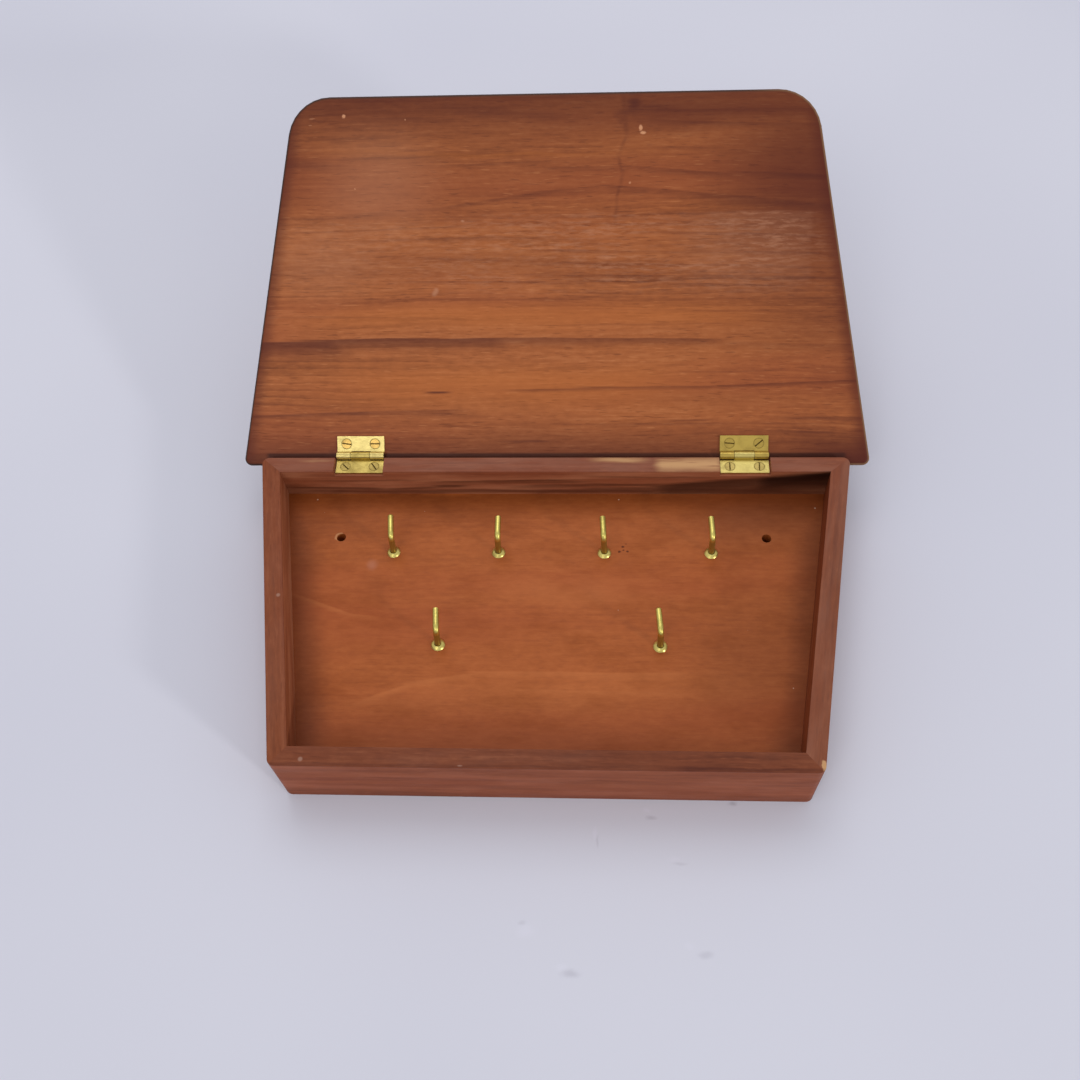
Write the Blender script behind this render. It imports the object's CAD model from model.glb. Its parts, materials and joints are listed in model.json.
# %% [markdown]
# # A wall key cabinet, lying open on its back
# The solids of the cabinet are already made: boards, hinges, hooks and screws. This lesson gives
# them their looks. It sets a camera, lays the box on pale paper under soft lamps and makes one
# finish after another: the lid, the four walls, the back board and at last the brass. The wear
# of an old box is part of each finish.

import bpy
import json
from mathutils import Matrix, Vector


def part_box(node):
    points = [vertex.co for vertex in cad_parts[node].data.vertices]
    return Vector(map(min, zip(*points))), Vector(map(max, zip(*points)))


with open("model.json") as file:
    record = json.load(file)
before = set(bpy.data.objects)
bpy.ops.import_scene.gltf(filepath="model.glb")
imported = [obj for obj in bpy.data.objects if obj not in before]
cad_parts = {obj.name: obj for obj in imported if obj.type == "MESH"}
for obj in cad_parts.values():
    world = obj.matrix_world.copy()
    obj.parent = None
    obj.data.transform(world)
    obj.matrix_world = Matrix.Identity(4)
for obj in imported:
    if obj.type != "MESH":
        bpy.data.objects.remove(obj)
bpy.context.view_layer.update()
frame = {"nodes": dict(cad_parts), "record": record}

# %% [markdown]
# ## Tools and units
# Blender counts in metres and a cabinet maker in millimetres, so a length is written as a number
# times MM. Colours are written from 0 to 255, as a picture shows them, and a helper turns them
# into the linear light of shaders, in which twice the number is twice the light.

# %% Tools and units
import json
from math import atan2, cos, degrees, pi, radians, sin

import bmesh
import bpy
from mathutils import Matrix, Vector

MM = 0.001


def srgb(red, green, blue):
    """A colour as a picture shows it, from 0 to 255, turned into the linear light that shaders use."""
    def linear(level):
        share = level / 255
        return share / 12.92 if share <= 0.04045 else ((share + 0.055) / 1.055) ** 2.4
    return (linear(red), linear(green), linear(blue), 1.0)


print("mid brown in linear light:", [round(c, 3) for c in srgb(154, 90, 52)])

# %% [markdown]
# ## Camera
# A picture fixes a camera by its place, its direction and its focal length. This one looks at
# the box from the near side, 32 degrees from straight down, turned a little to the left and
# rolled by five degrees. Three axes make the rotation: forward from tilt and pan, right from
# forward, and down from both, and the roll turns the last two.

# %% Camera
PICTURE_SIDE = 1080
FOCAL_LENGTH_PX = 1125.4
CAMERA_PLACE = Vector((24.7, -301.4, 502.7)) * MM
TILT, PAN, ROLL = radians(31.90), radians(-5.83), radians(4.79)

forward = Vector((sin(PAN) * sin(TILT), cos(PAN) * sin(TILT), -cos(TILT)))
level_right = forward.cross(Vector((0, 0, 1))).normalized()
level_down = forward.cross(level_right)
right = cos(ROLL) * level_right + sin(ROLL) * level_down
down = cos(ROLL) * level_down - sin(ROLL) * level_right

camera_data = bpy.data.cameras.new("camera")
camera_data.lens = FOCAL_LENGTH_PX / PICTURE_SIDE * camera_data.sensor_width
camera = bpy.data.objects.new("camera", camera_data)
camera_turn = Matrix((right, -down, -forward)).transposed().to_4x4()
camera.matrix_world = Matrix.Translation(CAMERA_PLACE) @ camera_turn
bpy.context.collection.objects.link(camera)
bpy.context.scene.camera = camera
print("lens:", round(camera_data.lens, 2), "mm")

# %% [markdown]
# ## Nodes in few words
# A material is a small network of nodes. These helpers add a node, set its values and join its
# inputs in one call, so that a cell reads like the recipe of the finish.

# %% Node helpers
class Nodes:
    """Adds nodes to one tree. An input may be a number, a colour or another node's output."""

    def __init__(self, tree):
        self.tree = tree

    def add(self, kind, inputs=None, **settings):
        node = self.tree.nodes.new("ShaderNode" + kind)
        for name, value in settings.items():
            setattr(node, name, value)
        self.fill(node, inputs or {})
        return node

    def fill(self, node, inputs):
        """Sets the named inputs of a node, or joins them where the value is another node's output."""
        for name, value in inputs.items():
            if isinstance(value, bpy.types.NodeSocket):
                self.tree.links.new(value, node.inputs[name])
            else:
                node.inputs[name].default_value = value

    def here(self):
        """The point's place on its object, in metres."""
        return self.add("TexCoord").outputs["Object"]

    def parts(self, place):
        """The three numbers of a place, as X, Y and Z."""
        return self.add("SeparateXYZ", {0: place}).outputs

    def place(self, **numbers):
        """A place made of its numbers. What isn't named is 0."""
        return self.add("CombineXYZ", numbers).outputs[0]

    def math(self, operation, *values):
        return self.add("Math", dict(enumerate(values)), operation=operation).outputs[0]

    def times(self, *masks):
        """The product of several masks."""
        product = masks[0]
        for mask in masks[1:]:
            product = self.math("MULTIPLY", product, mask)
        return product

    def minus(self, first, second):
        return self.math("SUBTRACT", first, second)

    def stronger(self, first, second):
        return self.math("MAXIMUM", first, second)

    def vector(self, operation, *values):
        return self.add("VectorMath", dict(enumerate(values)), operation=operation).outputs[0]

    def spread(self, value, low, high, start=0.0, end=1.0, kind="SMOOTHSTEP"):
        """Turns value from the range low to high into start to end, smoothly and with flat ends."""
        inputs = {"Value": value, "From Min": low, "From Max": high, "To Min": start, "To Max": end}
        return self.add("MapRange", inputs, interpolation_type=kind).outputs[0]

    def mix(self, share, first, second):
        """The first colour, with that share of the second over it."""
        return self.add("Mix", {0: share, 6: first, 7: second}, data_type="RGBA").outputs[2]

    def noise(self, vector, scale, detail=2.0, roughness=0.5):
        """Cloudy noise from 0 to 1. scale counts clouds per metre along X, Y and Z."""
        stretched = self.vector("MULTIPLY", vector, scale)
        inputs = {"Vector": stretched, "Scale": 1.0, "Detail": detail, "Roughness": roughness}
        return self.add("TexNoise", inputs).outputs[0]

    def bump(self, height, strength, distance=0.2 * MM):
        return self.add("Bump", {"Strength": strength, "Distance": distance, "Height": height}).outputs[0]


print("node helpers:", ", ".join(name for name in vars(Nodes) if not name.startswith("_")))

# %% [markdown]
# A shader group is a network with a name. It is built once and placed in many materials, each
# time with its own values, as a maker uses one tool on several boards.

# %% Groups and materials
def new_group(name, inputs, outputs):
    """An empty shader group. A socket gets its kind, or the number or vector that it starts at."""
    tree = bpy.data.node_groups.new(name, "ShaderNodeTree")
    for direction, sockets in (("INPUT", inputs), ("OUTPUT", outputs)):
        for label, start in sockets.items():
            kind = {str: start, tuple: "Vector", float: "Float"}[type(start)]
            socket = tree.interface.new_socket(label, in_out=direction, socket_type="NodeSocket" + kind)
            if kind != start:
                socket.default_value = start
    return Nodes(tree), tree.nodes.new("NodeGroupInput").outputs, tree.nodes.new("NodeGroupOutput")


def use_group(nodes, name, inputs):
    """Places a group in a material or in another group."""
    return nodes.add("Group", inputs, node_tree=bpy.data.node_groups[name]).outputs


def new_material(name):
    """A material, its nodes and its Principled shader, whose inputs the finish fills."""
    material = bpy.data.materials.new(name)
    material.use_nodes = True
    shader = material.node_tree.nodes["Principled BSDF"]
    return material, Nodes(material.node_tree), shader


print("groups so far:", len(bpy.data.node_groups))

# %% [markdown]
# ## Wood
# Mahogany has several scales of figure along its grain. The largest is the growth ring, a band
# with one sharp dark side that fades towards the next ring. The fraction of the distance across
# the grain makes such bands, and noise makes them drift and come and go. X runs along the grain,
# and the rings slope through the thickness, so that a board shows end grain where it is cut.

# %% Growth rings
RING_SLOPE = 0.7
RING_DRIFT = 2.6
DARK_SIDE = 0.14
FADE_POWER = 1.6

nodes, given, result = new_group(
    "growth rings", {"Place": "Vector", "Width": 12 * MM}, {"Dark": "Float"})
at = nodes.parts(given["Place"])
across = nodes.math("ADD", at["Y"], nodes.math("MULTIPLY", at["Z"], RING_SLOPE))
rings = nodes.math("DIVIDE", across, given["Width"])
drift = nodes.noise(given["Place"], (2.2, 24, 24), detail=2.0)
rings = nodes.math("ADD", rings, nodes.math("MULTIPLY", drift, RING_DRIFT))
within = nodes.math("FRACT", rings)
edge = nodes.spread(within, 0.0, DARK_SIDE)
fade = nodes.math("POWER", nodes.minus(1.0, within), FADE_POWER)
strength = nodes.spread(nodes.noise(given["Place"], (5, 45, 45), detail=3.0), 0.4, 0.68)
nodes.fill(result, {"Dark": nodes.times(edge, fade, strength)})
print("growth rings:", len(nodes.tree.nodes), "nodes")

# %% [markdown]
# Between the rings run soft streaks, fine fibres and a light mottle, and open pores show as
# short dashes. All are noise, stretched along the grain by different amounts. The place is first
# pushed sideways a little, because real grain never runs quite straight, and the seed moves it,
# so that no two boards are alike.

# %% The figure's patterns
SEED_STEP = (0.71, 0.37, 0.53)
WANDER = 5 * MM
LINE_WIDTH = 3.4 * MM

nodes, given, result = new_group(
    "wood grain",
    {"Place": "Vector", "Seed": 0.0, "Rings": 0.3, "Lines": 0.2, "Streaks": 0.3, "Fibres": 0.3,
     "Mottle": 0.2, "Pores": 0.5, "Dark": "Color", "Ground": "Color", "Pale": "Color", "Red": "Color"},
    {"Color": "Color", "Height": "Float", "Tone": "Float"})
shift = nodes.add("VectorMath", {0: SEED_STEP, "Scale": given["Seed"]}, operation="SCALE")
place = nodes.vector("ADD", given["Place"], shift.outputs[0])
wander = nodes.minus(nodes.noise(place, (9, 20, 20), detail=3.0), 0.5)
wander = nodes.math("MULTIPLY", wander, WANDER)
turned = nodes.vector("ADD", place, nodes.place(Y=wander, Z=wander))
rings = use_group(nodes, "growth rings", {"Place": turned})["Dark"]
lines = use_group(nodes, "growth rings", {"Place": turned, "Width": LINE_WIDTH})["Dark"]
streaks = nodes.noise(turned, (9, 190, 190), detail=4.0, roughness=0.68)
fibres = nodes.noise(turned, (48, 700, 700), detail=2.0, roughness=0.6)
mottle = nodes.noise(turned, (190, 420, 420), detail=2.0, roughness=0.6)
dashes = nodes.noise(turned, (120, 1300, 1300), detail=1.0)
pores = nodes.spread(dashes, 0.62, 0.74)
flecks = nodes.spread(dashes, 0.36, 0.24)
print("patterns of the grain:", len(nodes.tree.nodes), "nodes")

# %% [markdown]
# The patterns add up to one tone from 0 to 1, with 0.5 for plain wood. The tone picks a colour
# between dark, ground and pale. Broad patches lean towards red, pores are dark, and small flecks
# catch the light. The height is for a Bump node: fibres stand up and pores are dents.

# %% The figure's colours
PLAIN = 0.5
RED_SHARE = 0.45
PORE_SHARE = 0.45
FLECK_SHARE = 0.4

tone = nodes.math("MULTIPLY_ADD", rings, nodes.math("MULTIPLY", given["Rings"], -1.0), PLAIN)
tone = nodes.math("MULTIPLY_ADD", lines, nodes.math("MULTIPLY", given["Lines"], -1.0), tone)
for pattern, amount in ((streaks, "Streaks"), (fibres, "Fibres"), (mottle, "Mottle")):
    tone = nodes.math("MULTIPLY_ADD", nodes.minus(pattern, 0.5), given[amount], tone)
low = nodes.mix(nodes.spread(tone, 0.0, PLAIN, kind="LINEAR"), given["Dark"], given["Ground"])
colour = nodes.mix(nodes.spread(tone, PLAIN, 1.0, kind="LINEAR"), low, given["Pale"])
hue = nodes.spread(nodes.noise(place, (4, 26, 26), detail=2.0), 0.42, 0.7)
colour = nodes.mix(nodes.times(hue, RED_SHARE), colour, given["Red"])
pore_depth = nodes.times(pores, given["Pores"])
colour = nodes.mix(nodes.times(pore_depth, PORE_SHARE), colour, given["Dark"])
colour = nodes.mix(nodes.times(flecks, given["Pores"], FLECK_SHARE), colour, given["Pale"])
height = nodes.minus(nodes.times(fibres, 0.35), pore_depth)
nodes.fill(result, {"Color": colour, "Tone": tone, "Height": height})
print("wood grain:", len(nodes.tree.nodes), "nodes")

# %% [markdown]
# ## Marks in their places
# Noise alone gives a board of the right kind, but not this board. A streak of heartwood is a
# line from one point to another, with its own softness above and below it. The group measures
# how far a point lies off that line and along it, and gives out a mask.

# %% One streak
nodes, given, result = new_group(
    "streak",
    {"Place": "Vector", "Start": "Vector", "End": "Vector", "Above": MM, "Below": MM, "Fade": 10 * MM},
    {"Mask": "Float"})
at = nodes.parts(given["Place"])
start = nodes.parts(given["Start"])
end = nodes.parts(given["End"])
run = nodes.minus(at["X"], start["X"])
rise = nodes.minus(end["Y"], start["Y"])
slope = nodes.math("DIVIDE", rise, nodes.minus(end["X"], start["X"]))
off = nodes.minus(nodes.minus(at["Y"], start["Y"]), nodes.times(run, slope))
above = nodes.spread(off, 0.0, given["Above"], 1.0, 0.0)
below = nodes.spread(nodes.times(off, -1.0), 0.0, given["Below"], 1.0, 0.0)
outside = nodes.times(given["Fade"], -1.0)
entry = nodes.spread(run, outside, given["Fade"])
leave = nodes.spread(nodes.minus(end["X"], at["X"]), outside, given["Fade"])
nodes.fill(result, {"Mask": nodes.times(above, below, entry, leave)})
print("streak:", len(nodes.tree.nodes), "nodes")

# %% [markdown]
# A chip, a pit or a dot of filler is a small round spot. The distance from its middle, divided
# by its size, is 1 at the rim of an oval, and the softness says how early the mask fades.

# %% One spot
nodes, given, result = new_group(
    "spot",
    {"Place": "Vector", "Centre": "Vector", "Size": (MM, MM, MM), "Softness": 0.5}, {"Mask": "Float"})
away = nodes.vector("DIVIDE", nodes.vector("SUBTRACT", given["Place"], given["Centre"]), given["Size"])
distance = nodes.add("VectorMath", {0: away}, operation="LENGTH").outputs["Value"]
core = nodes.minus(1.0, given["Softness"])
nodes.fill(result, {"Mask": nodes.spread(distance, core, 1.0, 1.0, 0.0)})
print("spot:", len(nodes.tree.nodes), "nodes")

# %% [markdown]
# Each board lists the few marks that catch the eye, in millimetres, and two helpers turn a list
# into a mask. Where marks overlap the strongest one counts, because two faint ones would
# otherwise make a dark one. A smooth edge looks printed, so noise pushes the place and frays it.

# %% Marks from lists
def streak_marks(nodes, place, streaks, fade):
    """The strongest of several streaks. Each is (x0, y0, x1, y1, above, below, strength), in mm."""
    total = 0.0
    for x0, y0, x1, y1, above, below, strength in streaks:
        mask = use_group(nodes, "streak", {
            "Place": place, "Start": (x0 * MM, y0 * MM, 0), "End": (x1 * MM, y1 * MM, 0),
            "Above": above * MM, "Below": below * MM, "Fade": min(fade, (x1 - x0) / 3) * MM})["Mask"]
        total = nodes.stronger(total, nodes.times(mask, strength))
    return total


def spot_marks(nodes, place, spots, softness):
    """The strongest of several spots. Each is (x, y, width, height, strength), in mm."""
    total = 0.0
    for x, y, width, height, strength in spots:
        mask = use_group(nodes, "spot", {
            "Place": place, "Centre": (x * MM, y * MM, 0), "Softness": softness,
            "Size": (width / 2 * MM, height / 2 * MM, 1.0)})["Mask"]
        total = nodes.stronger(total, nodes.times(mask, strength))
    return total


def unevened(nodes, place, scale, amount):
    """The same place, pushed about by noise, so that marks get ragged edges. amount is in mm."""
    push = nodes.minus(nodes.noise(place, scale, detail=3.0), 0.5)
    push = nodes.times(push, 2 * amount * MM)
    return nodes.vector("ADD", place, nodes.place(X=push, Y=push))


def flattened(nodes, place):
    """The place without its third number, for marks that lie on one face."""
    return nodes.vector("MULTIPLY", place, (1, 1, 0))


print("marks from lists: streaks and spots")

# %% [markdown]
# Dust is different: it has no place of its own. Voronoi cells give evenly scattered points, and
# only the cells with a low random number get a speck, whose size is random too.

# %% Dust
CELLS_PER_METRE = 210.0
SMALLEST_SPECK, SPECK_RANGE = 0.03, 0.09

nodes, given, result = new_group("dust", {"Place": "Vector", "Amount": 0.1}, {"Mask": "Float"})
cells = nodes.add("TexVoronoi", {"Vector": given["Place"], "Scale": CELLS_PER_METRE, "Randomness": 1.0})
chance = nodes.add("SeparateColor", {0: cells.outputs["Color"]}).outputs
picked = nodes.math("GREATER_THAN", given["Amount"], chance[0])
reach = nodes.math("MULTIPLY_ADD", chance[1], SPECK_RANGE, SMALLEST_SPECK)
speck = nodes.spread(cells.outputs["Distance"], nodes.times(reach, 0.5), reach, 1.0, 0.0)
nodes.fill(result, {"Mask": nodes.times(picked, speck)})
print("dust:", len(nodes.tree.nodes), "nodes")

# %% [markdown]
# ## Floor
# The box lies on a sheet of pale, slightly blue paper. One square is enough for it, because its
# few small dents are only a change of tone: a pale side in the light and a dull side next to it.

# %% Floor
FLOOR_SIDE = 6.0
DENTS_PALE = [(22.6, -146, 3, 9, 0.55), (46, -135, 6, 4, 0.6), (-7, -189, 12, 9, 0.4),
              (8.5, -204, 8, 5, 0.4), (58, -157, 10, 4, 0.3), (63.5, -194, 8, 5, 0.3)]
DENTS_DULL = [(24, -149.5, 2, 8, 0.3), (48, -138.5, 8, 3, 0.4), (85, -131.5, 6, 3, 0.6),
              (-9, -186, 5, 3, 0.25), (12.5, -206.5, 12, 5, 0.4), (60.5, -159, 9, 2.5, 0.25),
              (70, -197.6, 9, 5, 0.3)]


def finish_paper():
    material, nodes, shader = new_material("pale paper")
    place = nodes.here()
    cloud = nodes.noise(place, (2.5, 2.5, 2.5), detail=2.0)
    tone = nodes.mix(nodes.spread(cloud, 0.3, 0.7), srgb(214, 215, 228), srgb(219, 220, 232))
    loose = unevened(nodes, place, (150, 150, 0), 1.5)
    tone = nodes.mix(spot_marks(nodes, loose, DENTS_PALE, 0.9), tone, srgb(226, 226, 240))
    tone = nodes.mix(spot_marks(nodes, loose, DENTS_DULL, 0.9), tone, srgb(176, 174, 188))
    nodes.fill(shader, {"Base Color": tone, "Roughness": 0.9, "Specular IOR Level": 0.1})
    return material


def make_floor():
    mesh = bpy.data.meshes.new("floor")
    sheet = bmesh.new()
    bmesh.ops.create_grid(sheet, x_segments=1, y_segments=1, size=FLOOR_SIDE / 2)
    sheet.to_mesh(mesh)
    sheet.free()
    mesh.materials.append(finish_paper())
    floor = bpy.data.objects.new("floor", mesh)
    bpy.context.collection.objects.link(floor)
    return floor


print("floor:", make_floor().dimensions[:])

# %% [markdown]
# ## Light
# Most of the light comes from the pale room all round, and three lamps shape it. The key lamp
# is small and stands low and far to the right, so that the box and each hook throw a shadow up
# and to the left. A wide lamp behind the camera's left side lays a dull sheen on the left half
# of the lid. One above the far edge keeps the paper bright there.

# %% Lamps
LAMPS = {
    "key lamp": {"place": (3.69, -2.93, 1.70), "size": 0.45, "power": 54.0, "tint": (1.0, 0.98, 0.95)},
    "shoulder lamp": {"place": (-1.1, -2.4, 2.7), "size": 1.3, "power": 18.0, "tint": (1.0, 1.0, 1.0)},
    "top lamp": {"place": (-0.15, 0.8, 1.6), "size": 1.0, "power": 5.6, "tint": (1.0, 1.0, 1.0)},
}
MIDDLE_OF_BOX = Vector((0, 0, 0.03))


def soft_lamp(name, place, size, power, tint):
    """A square lamp that faces the middle of the box. A wider one throws a softer shadow."""
    data = bpy.data.lights.new(name, "AREA")
    data.size = size
    data.energy = power
    data.color = tint
    lamp = bpy.data.objects.new(name, data)
    lamp.location = place
    lamp.rotation_euler = (MIDDLE_OF_BOX - Vector(place)).to_track_quat("-Z", "Y").to_euler()
    bpy.context.collection.objects.link(lamp)


for name, choices in LAMPS.items():
    soft_lamp(name, **choices)
    print(name + ":", choices["power"], "W")

# %% [markdown]
# The room is a world of one pale colour. With the lamps it shows a level surface about in the
# colour that is written, and the Standard view keeps it so.

# %% Room
ROOM_COLOUR = (0.97, 0.97, 1.0, 1)
ROOM_STRENGTH = 0.61

world = bpy.data.worlds.new("pale room")
world.use_nodes = True
room = world.node_tree.nodes["Background"].inputs
room["Color"].default_value = ROOM_COLOUR
room["Strength"].default_value = ROOM_STRENGTH
bpy.context.scene.world = world
bpy.context.scene.view_settings.view_transform = "Standard"
print("room strength:", ROOM_STRENGTH)

# %% [markdown]
# ## The lid
# The lid's inside faces the camera, so it carries the most figure. The board is turned back on
# its hinges, and a Mapping node turns the pattern with it: X then runs along the hinges and the
# grain, Y up the board from the hinge pin, and Z through it.

# %% Place on the lid
hinge = next(joint for joint in frame["record"]["behaviour"]["joints"] if joint["name"] == "lid_hinge")
PIN = Vector(hinge["pos_m"])
LID_LEAN = pi - radians(hinge["range_deg"][1])
LID_TURN = Matrix.Rotation(-LID_LEAN, 3, "X")


def lid_place(nodes):
    """Object coordinates turned so that Y climbs the opened lid from the pin and Z goes through it."""
    return nodes.add("Mapping", {
        "Vector": nodes.here(),
        "Rotation": (-LID_LEAN, 0, 0), "Location": -(LID_TURN @ PIN)}).outputs[0]


print("lid leans at", round(degrees(LID_LEAN), 1), "degrees over the floor")

# %% [markdown]
# The lists below are read off the board from its far edge down to the hinges. Negative X is
# left of the middle. A row is a streak: its start and end, its softness above and below, and
# its strength. The broad ones are zones of tone. They could be painted on the board by hand, but
# a list stays sharp at any size and is easy to change.

# %% Dark and pale zones of the lid
LID_DEEP_ZONES = [
    (-220, 184, 220, 184, 20, 48, 0.8),
    (10, 171, 260, 167, 28, 25, 0.78),
    (40, 156, 130, 155, 8, 8, 0.22),
    (40, 30, 200, 30, 10, 12, 0.14),
    (-220, 150, 220, 150, 15, 60, 0.24),
    (-220, 95, 220, 95, 14, 10, 0.2),
    (80, 140, 260, 140, 90, 110, 0.82),
    (105, 68, 260, 68, 46, 40, 0.5),
    (140, 38, 260, 38, 34, 26, 0.44),
    (-260, 150, -125, 150, 30, 50, 0.7),
    (-220, -4, 220, -4, 26, 20, 0.65),
    (112, -2, 260, -2, 26, 12, 1.0),
]
LID_BRIGHT_ZONES = [
    (-108, 37, 60, 37, 14, 20, 0.52),
    (-118, 70, 110, 70, 10, 10, 0.45),
    (-108, 149.6, 24, 149.2, 1.6, 3, 0.4),
]
print("zones:", len(LID_DEEP_ZONES), "deep,", len(LID_BRIGHT_ZONES), "bright")

# %% [markdown]
# Narrow rows are single lines in the grain, sharp above and soft below, as the dark side of a
# growth ring is. The few widest ones, the bands, run almost the whole way across.

# %% Lines in the lid's grain
LID_LINES = [
    (-50, 172, 10, 166, 4, 5, 0.3), (-92, 168, -61, 167, 0.8, 2.0, 0.35),
    (-140, 147, -104, 145, 3, 4, 0.35), (-110, 120.5, -48, 124.5, 1.2, 4, 0.26),
    (-52, 124.5, -20, 128.5, 1.0, 2.6, 0.5), (-24, 128, 8, 133, 1.2, 4, 0.36),
    (-75, 100, 8, 98, 0.7, 2.0, 0.3), (-6, 103, 138, 100, 0.6, 2.2, 0.35),
    (-75, 88, 60, 87, 0.5, 2.0, 0.34), (40, 87, 116, 84, 0.5, 2.0, 0.38),
    (-97, 80, 10, 78, 0.6, 1.6, 0.22), (-10, 131, 26, 134, 1.0, 4, 0.4),
    (26, 134, 90, 128, 1.0, 5, 0.5), (80, 129, 155, 121, 1.5, 6, 0.5),
    (-10, 143, 37, 143, 0.8, 3.5, 0.3), (37, 143, 95, 138, 0.9, 4, 0.44),
    (92, 139.5, 150, 136, 1.2, 3.5, 0.6), (48, 152, 80, 151, 0.8, 2.0, 0.25),
    (32, 112, 133, 108, 0.6, 1.6, 0.34), (-6, 97, 141, 93, 0.6, 1.8, 0.34),
    (-6, 91, 142, 88, 0.6, 1.8, 0.36), (71, 42, 114, 43, 0.6, 1.2, 0.3),
    (-64, 32.4, -53, 32.4, 0.7, 1.4, 0.8), (-175, 20, -118, 21.5, 0.9, 3.0, 0.55),
    (-125, 21.5, -50, 22.8, 0.9, 3.4, 0.6), (-74, 21.6, -50, 21.2, 1.2, 3, 0.6),
    (16, 16, 136, 16, 0.7, 1.4, 0.32), (116, 19, 175, 18.5, 1.4, 2.4, 0.5),
    (58, 17.5, 82, 17.5, 0.6, 1.2, 0.4), (112, 12, 147, 11, 0.8, 1.4, 0.6),
    (-26, 7, -3, 7, 0.7, 1.2, 0.6), (-119, 12, -77, 12, 0.6, 1.0, 0.4),
    (-130, 113, -40, 115, 0.5, 1.4, 0.3), (-120, 108, 10, 110, 0.5, 1.6, 0.26),
    (20, 116, 110, 114, 0.4, 1.4, 0.3), (-150, 71, -60, 70, 0.5, 1.6, 0.24),
    (10, 74, 120, 72, 0.5, 1.6, 0.22), (0, 66, 90, 66, 0.4, 1.4, 0.2),
    (-120, 158, -40, 161, 0.5, 2.0, 0.14), (-60, 144.5, 0, 146, 0.5, 2.0, 0.3),
    (50, 165, 120, 162, 0.7, 3.0, 0.36), (40, 170, 130, 169, 0.6, 2.4, 0.36),
    (-110, 178, 20, 177, 0.6, 2.4, 0.3),
]
LID_BANDS = [
    (-175, 57.4, -104, 58.4, 1.0, 12, 0.74), (-128, 59, -20, 59.4, 0.6, 7.5, 0.7),
    (-45, 59.3, 84, 58.4, 0.6, 5.5, 0.54), (70, 57, 170, 54, 1.4, 4, 0.2),
    (-22, 33.2, 87, 35, 0.6, 2.2, 0.42), (13, 34.7, 37, 34.2, 0.7, 1.5, 0.5),
    (80, 35, 170, 38, 0.6, 2.2, 0.5), (-175, 20, -40, 20.5, 0.7, 3, 0.2),
]
print("lines:", len(LID_LINES), "bands:", len(LID_BANDS))

# %% [markdown]
# A thin crooked stain crosses the grain below a small knot. It runs up the board, so its rows
# are written with X and Y exchanged. The spots are the knot, chips down to bare wood, pale
# smudges, and two wide hazes where the finish has dulled.

# %% Stain, knot and chips of the lid
STAIN_UP_THE_LID = [
    (116, 32, 128, 32, 1.8, 1.8, 0.26), (127, 32, 134, 34, 1.5, 1.5, 0.34),
    (133, 34, 141, 35.5, 1.8, 1.8, 0.24), (140, 35, 149, 32.5, 1.6, 1.6, 0.3),
    (148, 33, 158, 37, 1.8, 1.8, 0.3), (157, 37, 178, 35, 2.4, 2.4, 0.36)]
KNOT = [
    (40.3, 172.3, 14, 13, 0.8), (36, 169, 13, 7, 0.45), (48, 171, 38, 5, 0.5), (34.5, 165, 7, 6, 0.5)]
CHIPS = [
    (43.8, 161.2, 2.6, 3.6, 0.8), (45.2, 159.0, 3.4, 2.4, 0.8), (-104, 169, 2.2, 2.6, 0.8),
    (-99, 134, 1.1, 1.1, 0.6), (-120, 168, 4, 0.9, 0.25), (-121, 165, 2.6, 0.8, 0.25),
    (39, 135.3, 1.4, 1.4, 0.5), (-73, 167, 1.1, 1.1, 0.5)]
SMUDGES = [
    (-59, 83, 4.6, 4.6, 0.5), (-44.5, 118, 2.6, 2, 0.6), (-78, 114, 12, 7, 0.12), (20, 120, 10, 6, 0.15)]
HAZE = [(-88, 136, 90, 80, 0.2), (-115, 100, 80, 60, 0.12)]
print("chips:", len(CHIPS), "smudges:", len(SMUDGES))

# %% [markdown]
# Lines wander a little and zones a lot, the knot gets a frayed edge and chips a torn one, so
# each kind of mark reads the place in its own way. The mask called inside is 1 on the face that
# the camera sees, so that wear stays off the rounded edge and the outer face.

# %% Places for the lid's marks
INNER_FACE = -2.05 * MM


def lid_places(nodes):
    """Where a point lies on the lid, read straight and through several kinds of noise."""
    place = lid_place(nodes)
    at = nodes.parts(place)
    return {
        "plain": place, "across": at["X"], "up": at["Y"], "through": at["Z"],
        "loose": unevened(nodes, place, (14, 70, 0), 1.4),
        "broad": unevened(nodes, place, (9, 30, 0), 8),
        "ragged": unevened(nodes, flattened(nodes, place), (60, 140, 0), 3.5),
        "torn": flattened(nodes, unevened(nodes, place, (300, 300, 0), 1.0)),
        "inside": nodes.spread(at["Z"], INNER_FACE - 0.6 * MM, INNER_FACE - 0.3 * MM),
    }


print("inner face:", round(INNER_FACE / MM, 2), "mm from the pin")

# %% [markdown]
# The finish is laid down in the order of age: first the zones of the wood, then its lines,
# broken up by noise so that none looks ruled, and then the stain and the knot.

# %% The lid's own figure
LID_WOOD = {"Dark": srgb(94, 42, 19), "Ground": srgb(167, 94, 48), "Pale": srgb(204, 131, 80),
            "Red": srgb(154, 75, 41)}
AMBER, DEEP_RED, HEARTWOOD = srgb(190, 108, 49), srgb(84, 28, 14), srgb(82, 30, 18)


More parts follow.
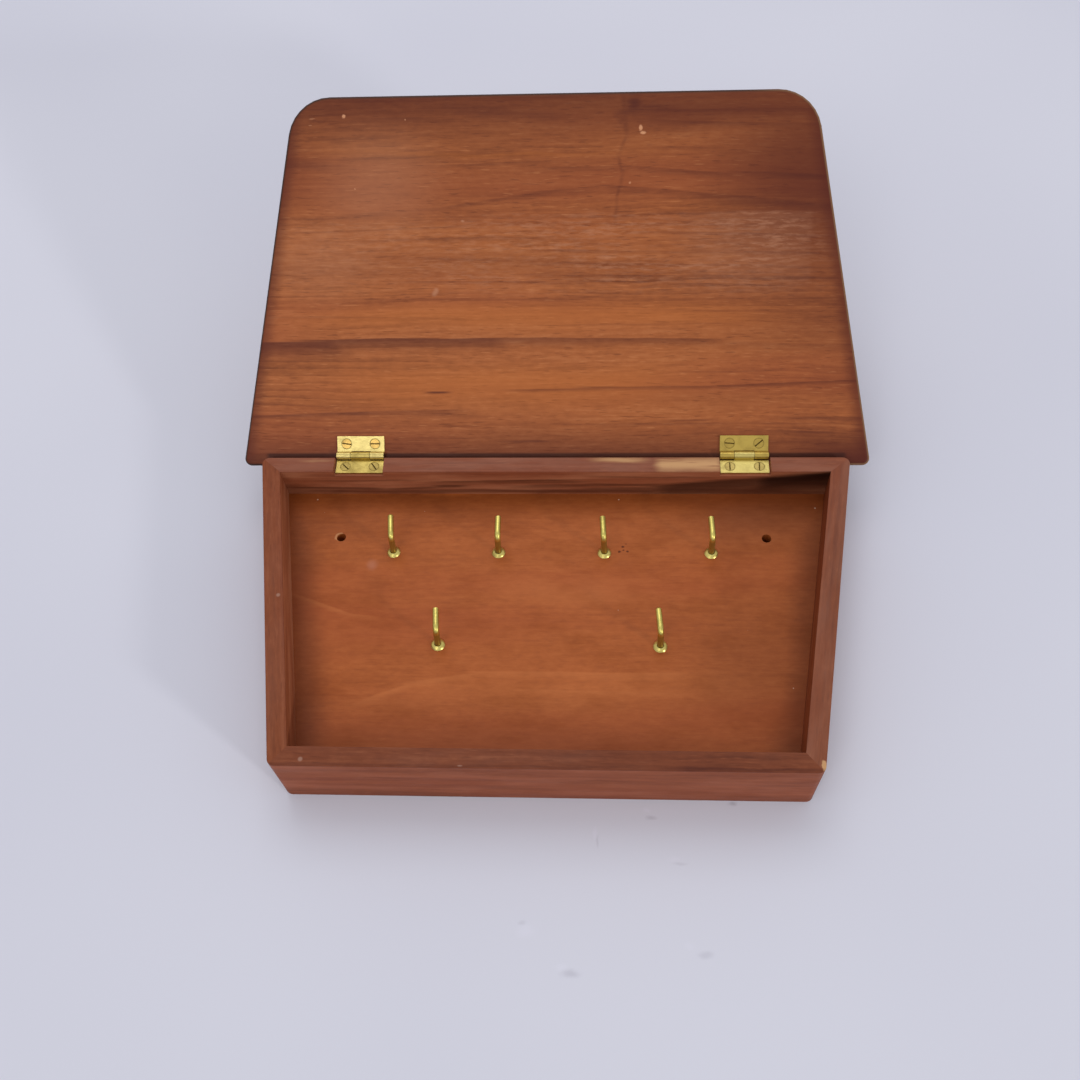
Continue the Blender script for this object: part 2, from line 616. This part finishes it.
def lid_figure(nodes, places, colour):
    """The grain's colour with the zones, lines, stain and knot of this board over it."""
    colour = nodes.mix(streak_marks(nodes, places["broad"], LID_BRIGHT_ZONES, 40), colour, AMBER)
    colour = nodes.mix(streak_marks(nodes, places["broad"], LID_DEEP_ZONES, 50), colour, DEEP_RED)
    patches = nodes.noise(places["plain"], (26, 240, 0), detail=3.0, roughness=0.6)
    broken = nodes.spread(patches, 0.3, 0.62, 0.45, 1.1)
    lines = nodes.times(streak_marks(nodes, places["loose"], LID_LINES, 16), broken)
    lines = nodes.stronger(lines, streak_marks(nodes, places["loose"], LID_BANDS, 12))
    colour = nodes.mix(lines, colour, HEARTWOOD)
    loose = nodes.parts(places["loose"])
    crossed = nodes.place(X=loose["Y"], Y=loose["X"])
    stain = nodes.stronger(
        streak_marks(nodes, crossed, STAIN_UP_THE_LID, 5), spot_marks(nodes, places["ragged"], KNOT, 0.95))
    return nodes.mix(nodes.times(stain, broken), colour, HEARTWOOD)


print("lid colours:", ", ".join(LID_WOOD))

# %% [markdown]
# A band about 40 mm high across the middle of the board has been rubbed pale. Only the raised
# fibres were caught, so the mask is a product of the band, rows, mottle and patches that were
# rubbed harder. It fades to the left, and one patch before its right end is the palest.

# %% Rubbed band
def rubbed_band(nodes, places):
    """Two masks: the scuffed rows of the band, and its palest patch."""
    plain, across, up = places["plain"], places["across"], places["up"]
    wavy_up = nodes.parts(places["loose"])["Y"]
    band = nodes.times(nodes.spread(up, 76 * MM, 92 * MM), nodes.spread(wavy_up, 121.5 * MM, 119.5 * MM))
    band = nodes.times(band, nodes.spread(across, -150 * MM, 60 * MM, 0.35, 1.0))
    band = nodes.times(band, nodes.spread(across, 110 * MM, 146 * MM, 1.0, 0.15))
    mottle = nodes.spread(nodes.noise(plain, (130, 640, 0), detail=3.0, roughness=0.62), 0.4, 0.68)
    rows = nodes.spread(nodes.noise(plain, (6, 300, 0), detail=2.0), 0.36, 0.58, 0.3, 1.0)
    harder = nodes.spread(nodes.noise(plain, (24, 60, 0), detail=3.0), 0.32, 0.6, 0.3, 1.0)
    worn = nodes.times(band, mottle, rows, harder, places["inside"])
    palest = nodes.times(nodes.spread(across, 50 * MM, 88 * MM), nodes.spread(across, 130 * MM, 127 * MM))
    return worn, nodes.times(palest, band, places["inside"])


print("rubbed band: two masks")

# %% [markdown]
# Small accidents come after the long wear. Haze and smudges lighten the finish, and chips go
# down to bare wood. Their mask is handed on, because they are also dents.

# %% Haze and chips
SCUFFED, BARE_WOOD = srgb(193, 137, 105), srgb(218, 156, 114)


def lid_accidents(nodes, places, colour):
    """The colour with haze, smudges and chips over it, and the mask of the chips."""
    haze = spot_marks(nodes, flattened(nodes, places["broad"]), HAZE, 0.95)
    smudges = spot_marks(nodes, places["ragged"], SMUDGES, 0.9)
    pale = nodes.times(nodes.stronger(haze, smudges), places["inside"])
    colour = nodes.mix(pale, colour, SCUFFED)
    dust = use_group(nodes, "dust", {"Place": places["plain"], "Amount": 0.02})["Mask"]
    chips = nodes.stronger(spot_marks(nodes, places["torn"], CHIPS, 0.6), nodes.times(dust, 0.4))
    chips = nodes.times(chips, places["inside"])
    return nodes.mix(chips, colour, BARE_WOOD), chips


print("accidents: haze, smudges, chips")

# %% [markdown]
# The board is darker towards its raking sides, where the finish pooled, and old wax fills the
# crease along the hinges. The rounded edge is nearly black with oil, except where hands have
# rubbed its right side. The nearer of the two faces says how deep a point lies in that edge.

# %% Edges of the lid
LID_THICKNESS = 9 * MM
HALF_WIDTH_AT_PIN = 160.5 * MM
SIDE_SLOPE = 0.1747
OILED_EDGE, RUBBED_EDGE, CREASE_WAX = srgb(56, 33, 22), srgb(140, 100, 66), srgb(52, 16, 8)


def lid_edges(nodes, places, colour):
    """The colour with darker sides, a waxed crease and an oiled edge."""
    across, up, through = places["across"], places["up"], places["through"]
    half = nodes.math("MULTIPLY_ADD", up, -SIDE_SLOPE, HALF_WIDTH_AT_PIN)
    off_middle = nodes.math("ABSOLUTE", across)
    inset = nodes.minus(half, off_middle)
    colour = nodes.mix(nodes.spread(inset, 1 * MM, 9 * MM, 0.64, 0.0), colour, DEEP_RED)
    crease = nodes.spread(up, 0.4 * MM, 1.9 * MM, 0.75, 0.0)
    crease = nodes.times(crease, nodes.spread(off_middle, 147 * MM, 150 * MM, 1.0, 0.0))
    colour = nodes.mix(crease, colour, CREASE_WAX)
    from_inside = nodes.minus(INNER_FACE, through)
    from_outside = nodes.minus(through, INNER_FACE - LID_THICKNESS)
    depth = nodes.math("MINIMUM", from_inside, from_outside)
    colour = nodes.mix(nodes.spread(depth, 0.04 * MM, 0.45 * MM, 0.0, 0.9), colour, OILED_EDGE)
    lit_side = nodes.times(nodes.spread(across, 90 * MM, 125 * MM), nodes.spread(depth, 1.6 * MM, 1.1 * MM))
    rim = nodes.times(lit_side, nodes.spread(depth, 0.1 * MM, 0.4 * MM, 0.0, 0.75))
    return nodes.mix(rim, colour, RUBBED_EDGE)


print("lid:", LID_THICKNESS / MM, "mm thick")

# %% [markdown]
# One function puts the steps together and sets the shine. It is satin: dark wood is a little
# duller than pale wood, and the rubbed band is the dullest. The grain and the chips feed the
# Bump node. A helper then gives a piece its finish in every slot that it has.

# %% Lid finish
def finish_lid():
    material, nodes, shader = new_material("lid wood")
    places = lid_places(nodes)
    grain = use_group(nodes, "wood grain", {
        "Place": places["plain"], "Seed": 0.3, "Rings": 0.18, "Lines": 0.22, "Streaks": 0.38,
        "Fibres": 0.38, "Mottle": 0.34, "Pores": 0.9, **LID_WOOD})
    colour = lid_figure(nodes, places, grain["Color"])
    worn, palest = rubbed_band(nodes, places)
    colour = nodes.mix(nodes.times(worn, 0.42), colour, SCUFFED)
    colour = nodes.mix(nodes.times(palest, 0.1), colour, SCUFFED)
    colour, chips = lid_accidents(nodes, places, colour)
    satin = nodes.spread(grain["Tone"], 0.3, 0.7, 0.52, 0.44)
    height = nodes.minus(grain["Height"], nodes.times(chips, 2.0))
    nodes.fill(shader, {
        "Base Color": lid_edges(nodes, places, colour), "Normal": nodes.bump(height, 0.3),
        "Roughness": nodes.math("MULTIPLY_ADD", worn, 0.2, satin), "Specular IOR Level": 0.22})
    return material


def dress(name, material):
    """Gives a carried-over piece its finish, in every slot it has."""
    for slot in frame["nodes"][name].material_slots:
        slot.material = material


dress("lid", finish_lid())
print("lid:", [round(side, 3) for side in frame["nodes"]["lid"].dimensions])

# %% [markdown]
# ## The four walls
# The walls are cut from redder, duller wood than the lid. Rails carry their grain across the
# cabinet and stiles along their rake, and the mitres show where the two directions meet. The
# rims are rubbed down to the wood beside the right hinge and on the near right corner, and
# filler shows in two nail holes.

# %% Wall colours and marks
WALL_WOOD = {"Dark": srgb(74, 28, 14), "Pale": srgb(166, 100, 66), "Red": srgb(128, 56, 32)}
FILM, RUDDY, RUBBED = srgb(168, 124, 104), srgb(174, 95, 58), srgb(178, 116, 84)
OLD_WAX, SOOT = srgb(30, 8, 4), srgb(70, 28, 22)
RIM_BARE, PALE_FILLER = srgb(206, 160, 112), srgb(182, 144, 126)
RIM_LEVEL = 37.5 * MM
BARE_BLOCK = [(53, 31.5, 85, 31.5, 7, 7, 0.95)]
BARE_EDGE = [(23, 34.4, 46, 34.0, 2.4, 2.6, 0.74), (-128, 34, -114, 34, 1.4, 1.4, 0.3)]
BARE_SPOTS = [(120.3, -127.0, 2.6, 6.4, 0.85), (85.2, 25.2, 2.4, 1.4, 0.8)]
NEAR_STREAK = [(55, -129, 118, -129, 1, 2.4, 0.6), (-118, -129, 40, -129, 1, 1.6, 0.25)]
FILLER = [(-129, -44.9, 2.6, 2.6, 0.5), (-106.5, -126.9, 2.8, 2.8, 0.5), (-36, -129, 3, 1, 0.4)]
print("bare places:", len(BARE_BLOCK + BARE_EDGE + BARE_SPOTS), "filler dots:", len(FILLER))

# %% [markdown]
# The inner face of the hinge rail is the darkest place in the box. Heartwood and old wax fill
# its two corners, and a few black grain lines join them. They are streaks again, on a place made
# of X and Z, because that face stands upright.

# %% Dark corners of the hinge rail
RAIL_SHADES = [
    (50, 24.5, 150, 37, 3, 26, 0.76),
    (98, 30, 150, 37, 5, 26, 0.97),
    (-150, 26, -90, 19, 3, 26, 0.3),
]
RAIL_LINES = [
    (-140, 24, -84, 22.8, 1.6, 3, 0.55), (-90, 22.8, -58, 24.4, 1.2, 2.6, 0.5),
    (-122, 30, -70, 30.5, 0.6, 2, 0.35), (-62, 25, -45, 25.5, 1.2, 2.4, 0.6),
    (-52, 29.5, 12, 31, 0.6, 1.6, 0.6), (-20, 25, 60, 27, 1.5, 3, 0.45),
    (10, 22, 90, 24, 2, 4, 0.46), (20, 34, 80, 33, 1, 2, 0.35),
    (-134, 20.5, 134, 20.5, 3, 3, 0.5), (-60, 29, 16, 29.5, 1, 3.5, 0.5),
    (20, 27, 60, 26, 1, 2.5, 0.5),
]
RAIL_INNER_FACE = 27.2 * MM


def rail_shade(nodes, place):
    """The dark corners and lines on the upright inner face of the hinge rail."""
    at = nodes.parts(place)
    upright = nodes.place(X=at["X"], Y=at["Z"])
    upright = unevened(nodes, upright, (20, 160, 0), 2.0)
    marks = nodes.stronger(
        streak_marks(nodes, upright, RAIL_SHADES, 14), streak_marks(nodes, upright, RAIL_LINES, 12))
    return nodes.times(marks, nodes.spread(at["Y"], RAIL_INNER_FACE + 0.4 * MM, RAIL_INNER_FACE))


print("rail shades:", len(RAIL_SHADES), "lines:", len(RAIL_LINES))

# %% [markdown]
# One set of rim marks serves all four walls, since each mark lies where only one wall is. Bare
# wood shows along the fibres, soot darkens the near rim, and filler is a small pale dot.

# %% Marks on the rims
def rim_marks(nodes, place, along, rim, colour):
    """The colour with bare wood, soot and filler over it. along is the place turned to the grain."""
    ragged = flattened(nodes, unevened(nodes, place, (60, 300, 0), 1.6))
    fibres = nodes.spread(nodes.noise(along, (26, 420, 0), detail=3.0), 0.3, 0.46, 0.3, 1.0)
    bare = nodes.stronger(
        streak_marks(nodes, ragged, BARE_BLOCK, 3), streak_marks(nodes, ragged, BARE_EDGE, 9))
    bare = nodes.stronger(nodes.times(bare, fibres), spot_marks(nodes, ragged, BARE_SPOTS, 0.4))
    colour = nodes.mix(nodes.times(bare, rim), colour, RIM_BARE)
    soot = nodes.times(streak_marks(nodes, ragged, NEAR_STREAK, 14), rim)
    colour = nodes.mix(soot, colour, SOOT)
    filler = nodes.times(spot_marks(nodes, flattened(nodes, place), FILLER, 0.6), rim)
    return nodes.mix(filler, colour, PALE_FILLER)


print("rim level:", RIM_LEVEL / MM, "mm")

# %% [markdown]
# One function finishes any wall. A cloudy film lies on the rim. The sides get their own tone
# between fine veins, thinner at the foot, where a box picks up dirt. A Mapping node turns the
# grain along the wall, and the stiles need their rake for that.

# %% Wall finish
RAKE = atan2(29, 166)


def finish_wall(name, turn, seed, ground, rim_film, side_tone, side_share, shade=None):
    """One wall's wood. turn lays the grain along the wall, and shade makes one more dark mask."""
    material, nodes, shader = new_material(name + " wood")
    place = nodes.here()
    along = nodes.add("Mapping", {"Vector": place, "Rotation": (0, 0, turn)}).outputs[0]
    grain = use_group(nodes, "wood grain", {
        "Place": along, "Seed": seed, "Rings": 0.2, "Lines": 0.24, "Streaks": 0.45, "Fibres": 0.4,
        "Mottle": 0.3, "Pores": 0.6, "Ground": ground, **WALL_WOOD})
    height = nodes.parts(place)["Z"]
    rim = nodes.spread(height, RIM_LEVEL - 0.4 * MM, RIM_LEVEL)
    cloud = nodes.spread(nodes.noise(along, (22, 120, 120), detail=4.0, roughness=0.6), 0.36, 0.7)
    patchy = nodes.math("MULTIPLY_ADD", cloud, 0.5, 0.5)
    colour = nodes.mix(nodes.times(patchy, rim, rim_film), grain["Color"], FILM)
    side = nodes.minus(1.0, rim)
    foot = nodes.spread(height, 3 * MM, 12 * MM, 0.6, 1.0)
    veins = nodes.spread(nodes.noise(along, (12, 200, 200), detail=3.0), 0.34, 0.62, 0.45, 1.0)
    colour = nodes.mix(nodes.times(side, foot, patchy, veins, side_share), colour, side_tone)
    if shade:
        colour = nodes.mix(shade(nodes, place), colour, OLD_WAX)
    nodes.fill(shader, {
        "Base Color": rim_marks(nodes, place, along, rim, colour), "Specular IOR Level": 0.16,
        "Roughness": nodes.spread(cloud, 0.0, 1.0, 0.56, 0.46), "Normal": nodes.bump(grain["Height"], 0.35)})
    return material


print("rake of the stiles:", round(degrees(RAKE), 1), "degrees")

# %% [markdown]
# The walls were cut from different boards and have worn differently. Each row gives the turn of
# the grain, the seed, the ground colour, the rim's film, and the sides' tone and its share.

# %% The four walls
WALLS = {
    "top_rail": (0, 11.0, srgb(130, 66, 38), 0.32, RUBBED, 0.8, rail_shade),
    "bottom_rail": (0, 12.0, srgb(121, 61, 35), 0.08, srgb(160, 87, 54), 0.9),
    "left_stile": (pi / 2 - RAKE, 13.0, srgb(129, 65, 34), 0.1, RUBBED, 0.85),
    "right_stile": (pi / 2 + RAKE, 14.0, srgb(124, 62, 31), 0.3, RUDDY, 0.1),
}
for name, choices in WALLS.items():
    dress(name, finish_wall(name, *choices))
print("walls:", ", ".join(WALLS))

# %% [markdown]
# ## The back board
# The board behind the hooks is smoother and more orange than the walls, with a cloudy figure.
# Years of keys and fingers left it darker along its edges, most of all under the hinge rail.
# A few small pits lie beside the third hook, and the left wall hole has a splintered lip.

# %% Back board colours and marks
BOARD_WOOD = {"Dark": srgb(112, 48, 16), "Ground": srgb(174, 92, 41), "Pale": srgb(206, 122, 66),
              "Red": srgb(164, 76, 36)}
BOARD_FACE = 18 * MM
PITS = [(35.9, -5.2, 2.2, 1.9, 0.9), (34.3, -7.9, 2.2, 1.8, 0.85), (38.1, -8.0, 2.0, 1.8, 0.85),
        (36.2, -7.2, 1.6, 1.3, 0.7), (37.4, -3.6, 1.4, 1.2, 0.6)]
SPLINTERED_LIP = [(-108.9, 0.4, 5.6, 5.4, 0.8)]
BOARD_SMUDGE = [(-90.3, -16.3, 8, 9, 0.24)]
EDGE_GRIME = [
    (-200, 27, 200, 27, 4, 24, 0.45),
    (-200, -122, 200, -122, 34, 4, 0.12),
    (60, 20, 200, 16, 30, 30, 0.52),
    (62, -70, 200, -75, 60, 50, 0.26),
    (-200, 10, -90, 12, 20, 24, 0.3),
]
PALE_FIGURE = [(-70, -85, 90, -80, 8, 14, 0.2), (-20, -28, 40, -32, 12, 14, 0.3)]
PALE_LINES = [(-130, -33, -98, -44.5, 1.2, 3, 0.4), (-100, -44.5, -84, -46, 1.0, 3, 0.25),
              (-88, -91, -62, -80.5, 1.4, 4, 0.34), (-66, -81, -30, -75.4, 1.4, 4, 0.34),
              (-36, -75.2, 64, -74.6, 1.0, 5, 0.34), (-20, -84, 60, -84.5, 0.8, 3, 0.2)]
print("pits:", len(PITS), "grimy edges:", len(EDGE_GRIME))

# %% [markdown]
# The figure comes first: two pale clouds, a few pale lines that arch over the lower hooks, and
# darker clouds over all. Grime lies along the rails as streaks, and at the raking sides it
# follows from how far a point lies inside them.

# %% Figure and grime of the back board
BOARD_HALF_WIDTH = 134.6 * MM
GRIME = srgb(84, 32, 6)


def board_figure(nodes, place, broad, cloud, colour):
    """The grain's colour with this board's pale and dark clouds over it."""
    colour = nodes.mix(streak_marks(nodes, broad, PALE_FIGURE, 25), colour, BOARD_WOOD["Pale"])
    loose = unevened(nodes, place, (14, 50, 0), 1.6)
    colour = nodes.mix(streak_marks(nodes, loose, PALE_LINES, 10), colour, BOARD_WOOD["Pale"])
    return nodes.mix(nodes.times(cloud, 0.26), colour, BOARD_WOOD["Dark"])


def board_grime(nodes, broad, colour):
    """The colour, darkened towards all four walls."""
    at = nodes.parts(broad)
    half = nodes.math("MULTIPLY_ADD", at["Y"], SIDE_SLOPE, BOARD_HALF_WIDTH)
    inset = nodes.minus(half, nodes.math("ABSOLUTE", at["X"]))
    sides = nodes.times(nodes.spread(inset, 0.0, 20 * MM, 1.0, 0.0), 0.58)
    grime = nodes.stronger(sides, streak_marks(nodes, broad, EDGE_GRIME, 40))
    return nodes.mix(grime, colour, GRIME)


print("back board colours:", ", ".join(BOARD_WOOD))

# %% [markdown]
# The small marks lie on the front face only. Dust is thickest under the hinge rail, where no
# cloth reaches. Dust and pits are handed on, because they also change the height.

# %% Small marks of the back board
def board_marks(nodes, place, broad, colour):
    """The colour with lip, pits, smudge and dust over it, and the masks of dust and pits."""
    level = nodes.parts(place)["Z"]
    front = nodes.spread(level, BOARD_FACE - MM, BOARD_FACE - 0.5 * MM)
    flat = flattened(nodes, unevened(nodes, place, (420, 420, 0), 0.7))
    lip = nodes.times(spot_marks(nodes, flat, SPLINTERED_LIP, 0.3), front)
    colour = nodes.mix(lip, colour, srgb(200, 140, 92))
    pits = nodes.times(spot_marks(nodes, flat, PITS, 0.8), front)
    colour = nodes.mix(pits, colour, srgb(70, 24, 10))
    smudge = nodes.times(spot_marks(nodes, flat, BOARD_SMUDGE, 0.9), front)
    colour = nodes.mix(smudge, colour, srgb(206, 150, 130))
    up = nodes.parts(broad)["Y"]
    near_rail = nodes.spread(up, 8 * MM, 27 * MM, 0.02, 0.3)
    dust = nodes.times(use_group(nodes, "dust", {"Place": place, "Amount": near_rail})["Mask"], front)
    return nodes.mix(nodes.times(dust, 0.6), colour, srgb(226, 200, 176)), dust, pits


print("small marks:", len(PITS + SPLINTERED_LIP + BOARD_SMUDGE))

# %% [markdown]
# The finish puts these steps together. Where the clouds darken the wood it is also duller.

# %% Back board finish
def finish_board():
    material, nodes, shader = new_material("back board wood")
    place = nodes.here()
    grain = use_group(nodes, "wood grain", {
        "Place": place, "Seed": 7.0, "Rings": 0.04, "Lines": 0.06, "Streaks": 0.1, "Fibres": 0.18,
        "Mottle": 0.36, "Pores": 0.3, **BOARD_WOOD})
    broad = unevened(nodes, place, (16, 22, 0), 9)
    cloud = nodes.spread(nodes.noise(place, (30, 66, 0), detail=4.0, roughness=0.62), 0.38, 0.75)
    colour = board_figure(nodes, place, broad, cloud, grain["Color"])
    colour = board_grime(nodes, broad, colour)
    colour, dust, pits = board_marks(nodes, place, broad, colour)
    height = nodes.minus(nodes.math("ADD", grain["Height"], dust), nodes.times(pits, 3.0))
    nodes.fill(shader, {
        "Base Color": colour, "Normal": nodes.bump(height, 0.25),
        "Roughness": nodes.spread(cloud, 0.0, 1.0, 0.48, 0.56), "Specular IOR Level": 0.2})
    return material


dress("back_panel", finish_board())
print("back board: face at", BOARD_FACE / MM, "mm")

# %% [markdown]
# ## Brass and steel
# The hinges, hooks and screws are brass that has dulled in places. Metal shows mostly what it
# reflects, so its colour stays even, and the wear is in its roughness and in a brown film that
# collects round the screw heads and down the hooks' stems. The metal's fine lines are noise
# stretched along X.

# %% Brass
TARNISH = srgb(112, 92, 46)
ROUGHNESS_SWING = 0.05


def finish_brass(name, tone, film, roughness, dirt=None, *where):
    """Brass with a tarnish film. dirt is a function that makes one more mask, told where to lie."""
    material, nodes, shader = new_material(name)
    place = nodes.here()
    smear = nodes.spread(nodes.noise(place, (160, 160, 160), detail=4.0, roughness=0.6), 0.42, 0.75)
    lines = nodes.noise(place, (260, 5200, 5200), detail=2.0)
    mask = nodes.times(smear, film)
    if dirt:
        mask = nodes.stronger(mask, dirt(nodes, *where))
    polish = nodes.spread(lines, 0.25, 0.75, roughness - ROUGHNESS_SWING, roughness + ROUGHNESS_SWING)
    nodes.fill(shader, {
        "Base Color": nodes.mix(mask, tone, TARNISH), "Metallic": 1.0,
        "Roughness": nodes.math("ADD", nodes.times(mask, 0.25), polish),
        "Normal": nodes.bump(lines, 0.12, 0.1 * MM)})
    return material


print("brass: film and fine lines")

# %% [markdown]
# Dirt lies where the screw heads meet their countersinks. The screws' places along the leaf come
# from the screws themselves, and their distance from the pin is the same on all four leaves. A
# spot a little wider than the head leaves just a ring in sight.

# %% Rings round the screw heads
HEAD = 4.8
RING = 1.3
SCREW_LINE = 6.1


def head_rings(nodes, side, leaf):
    """The mask of thin dark rings round the heads on one leaf."""
    low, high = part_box(side + "_hinge_" + leaf + "_screws")
    middles = (low[0] / MM + HEAD / 2, high[0] / MM - HEAD / 2)
    if leaf == "lid":
        place, line = lid_place(nodes), SCREW_LINE
    else:
        place, line = nodes.here(), PIN.y / MM - SCREW_LINE
    flat = flattened(nodes, unevened(nodes, place, (500, 500, 0), 0.25))
    return spot_marks(nodes, flat, [(x, line, HEAD + RING, HEAD + RING, 0.85) for x in middles], 0.22)


print("screw heads:", HEAD, "mm across")

# %% [markdown]
# Dirt is also packed in the slots. A slot is lower than the top of its head, so the mask is
# what lies below that top. The top is measured on the screws, square to their leaf.

# %% Dirt in the slots
def head_top(name, turn):
    """How far the heads stand over the pin, measured square to their leaf."""
    piece = frame["nodes"][name]
    return max((turn @ (piece.matrix_world @ corner.co - PIN)).z for corner in piece.data.vertices)


def slot_dirt(nodes, side, leaf):
    """The mask of the dirt packed in the slots of one leaf's screws."""
    if leaf == "lid":
        place, turn = lid_place(nodes), LID_TURN
    else:
        place, turn = nodes.vector("SUBTRACT", nodes.here(), PIN), Matrix.Identity(3)
    top = head_top(side + "_hinge_" + leaf + "_screws", turn)
    return nodes.spread(nodes.parts(place)["Z"], top - 0.3 * MM, top - 0.08 * MM, 0.9, 0.0)


print("slots: dirt lies 0.08 to 0.3 mm below the head")

# %% [markdown]
# The leaves and screws have dulled differently, so each row gives a tone, a film and a roughness.

# %% Hinge leaves and screws
LEAVES = {
    ("left", "lid"): (srgb(219, 198, 126), 0.2, 0.42),
    ("left", "box"): (srgb(189, 167, 95), 0.42, 0.36),
    ("right", "lid"): (srgb(200, 172, 88), 0.4, 0.36),
    ("right", "box"): (srgb(212, 194, 118), 0.27, 0.4),
}
SCREWS = {
    ("left", "lid"): (srgb(214, 176, 98), 0.3, 0.4),
    ("left", "box"): (srgb(172, 150, 86), 0.3, 0.4),
    ("right", "lid"): (srgb(186, 158, 80), 0.3, 0.4),
    ("right", "box"): (srgb(190, 168, 100), 0.3, 0.4),
}
for kind, finishes, dirt in (("leaf", LEAVES, head_rings), ("screws", SCREWS, slot_dirt)):
    for (side, leaf), choices in finishes.items():
        brass = finish_brass(f"{side} {leaf} {kind}", *choices, dirt, side, leaf)
        dress(f"{side}_hinge_{leaf}_{kind}", brass)
print("leaves:", len(LEAVES), "pairs of screws:", len(SCREWS))

# %% [markdown]
# Each hook is bent brass wire over a pressed collar. Keys keep the arm bright, while the stem
# below the bend has an even film that thins at the collar.

# %% Hooks and collars
BEND_LEVEL = 31.8 * MM
COLLAR_LEVEL = 18.5 * MM


def stem_film(nodes):
    """Tarnish on the lower part of each hook's stem."""
    height = nodes.parts(nodes.here())["Z"]
    stem = nodes.spread(height, BEND_LEVEL, BEND_LEVEL - 2.3 * MM)
    return nodes.times(stem, nodes.spread(height, COLLAR_LEVEL, COLLAR_LEVEL + 2 * MM, 0.25, 0.48))


wire = finish_brass("hook brass", srgb(226, 212, 118), 0.35, 0.38, stem_film)
pressed = finish_brass("collar brass", srgb(228, 210, 122), 0.35, 0.34)
for name in frame["nodes"]:
    if "hook" in name:
        dress(name, wire)
    elif "collar" in name:
        dress(name, pressed)
print("hooks:", sum("hook" in name for name in frame["nodes"]))

# %% [markdown]
# Pins are drawn steel wire: grey, fairly bright, with brown spots where rust has begun. Few of
# them show.

# %% Pins
PINS = ("left_hinge_pin", "right_hinge_pin", "panel_pins", "mitre_pins")


def finish_steel():
    material, nodes, shader = new_material("drawn steel")
    place = nodes.here()
    spots = nodes.spread(nodes.noise(place, (300, 300, 300), detail=3.0), 0.5, 0.75)
    nodes.fill(shader, {
        "Base Color": nodes.mix(spots, srgb(150, 146, 138), srgb(104, 82, 62)), "Metallic": 1.0,
        "Roughness": nodes.spread(spots, 0.0, 1.0, 0.35, 0.6)})
    return material


steel = finish_steel()
for name in PINS:
    dress(name, steel)
print("pins dressed:", len(PINS))

# %% [markdown]
# ## Hand over
# The size of the dressed object is written beside the size of the solids, for comparison.
